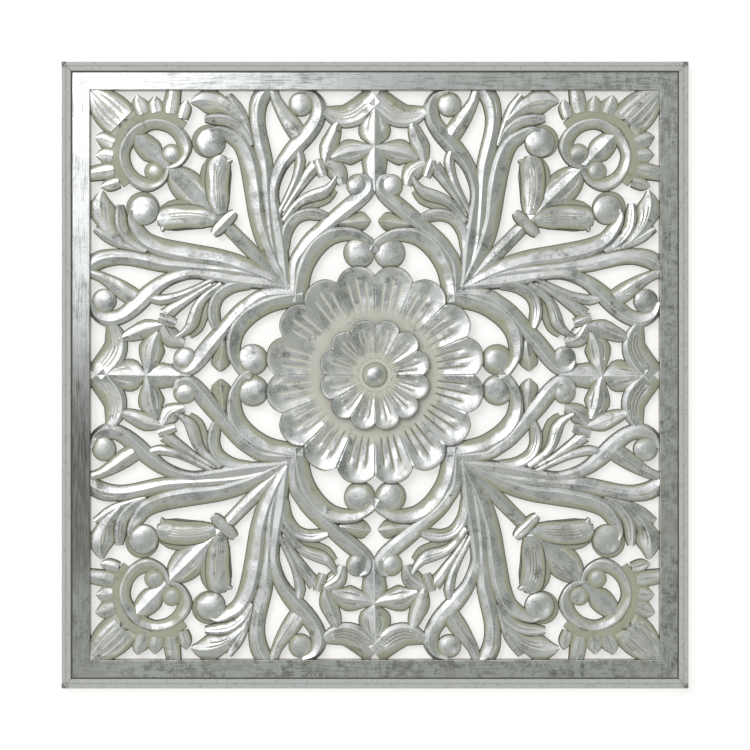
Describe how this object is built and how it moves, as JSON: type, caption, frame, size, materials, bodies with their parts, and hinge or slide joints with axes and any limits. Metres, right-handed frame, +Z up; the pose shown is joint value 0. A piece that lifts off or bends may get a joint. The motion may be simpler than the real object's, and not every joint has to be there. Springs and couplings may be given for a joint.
{
  "type": "carved wall panel",
  "caption": "Square pierced wall panel of carved board, its scrolling leaves, tulips and balls set round a large flower inside a flat border with mitred edge strips.",
  "frame": {"origin": "middle of the panel's back face, against the wall", "axes": "+Y into the wall, -Y the carved front, +Z up"},
  "size_m": [0.9, 0.018, 0.9],
  "materials": {
    "silver_leaf": "silver leaf over carved board, with greige paint in the hollows",
    "grey_paint": "satin grey paint, worn at the corners"
  },
  "bodies": {
    "root": {"carved_panel": "silver_leaf", "edge_strip_top": "grey_paint", "edge_strip_right": "grey_paint", "edge_strip_bottom": "grey_paint", "edge_strip_left": "grey_paint"}
  },
  "joints": []
}
